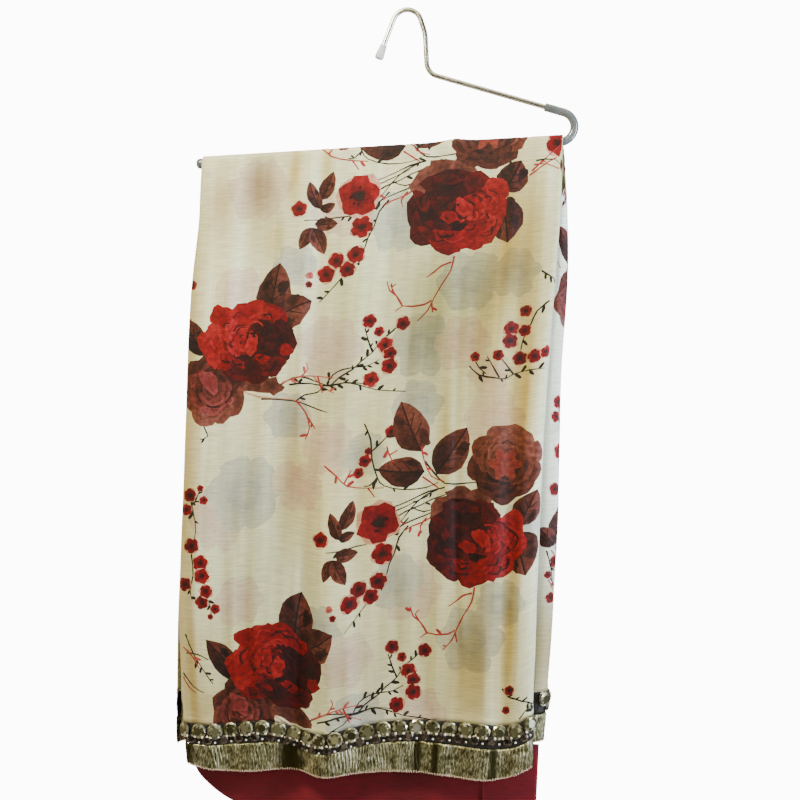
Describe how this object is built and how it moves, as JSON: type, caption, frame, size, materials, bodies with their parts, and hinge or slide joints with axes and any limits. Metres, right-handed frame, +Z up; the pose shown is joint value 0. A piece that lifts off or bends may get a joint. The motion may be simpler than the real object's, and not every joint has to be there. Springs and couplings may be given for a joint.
{
  "type": "printed saree with its open-ended hanger",
  "caption": "Folded floral-print saree with a black beaded and gold border and a plain maroon blouse piece, hung over the sleeved bar of an open-ended steel hanger.",
  "frame": {"origin": "highest point of the inside of the hanger's hook, where a rail carries it", "axes": "+X along the bar towards its end bend, +Y to the back of the saree, +Z up"},
  "size_m": [0.3868, 0.0595, 0.8366],
  "materials": {
    "steel_rod": "bright",
    "pvc_sleeve": "gloss",
    "pale_plastic": "satin",
    "printed_georgette": "matte",
    "black_bead_band": "satin",
    "gold_ribbon": "metallic",
    "maroon_cloth": "matte"
  },
  "bodies": {
    "root": {"hanger_rod": "steel_rod", "hanger_sleeve": "pvc_sleeve", "hanger_bar_cap": "pvc_sleeve", "hanger_hook_cap": "pale_plastic", "saree_front": "printed_georgette", "saree_rear": "printed_georgette", "saree_inner_layers": "printed_georgette", "front_bead_band": "black_bead_band", "front_gold_band": "gold_ribbon", "rear_bead_band": "black_bead_band", "rear_gold_band": "gold_ribbon", "blouse_piece": "maroon_cloth"}
  },
  "joints": []
}
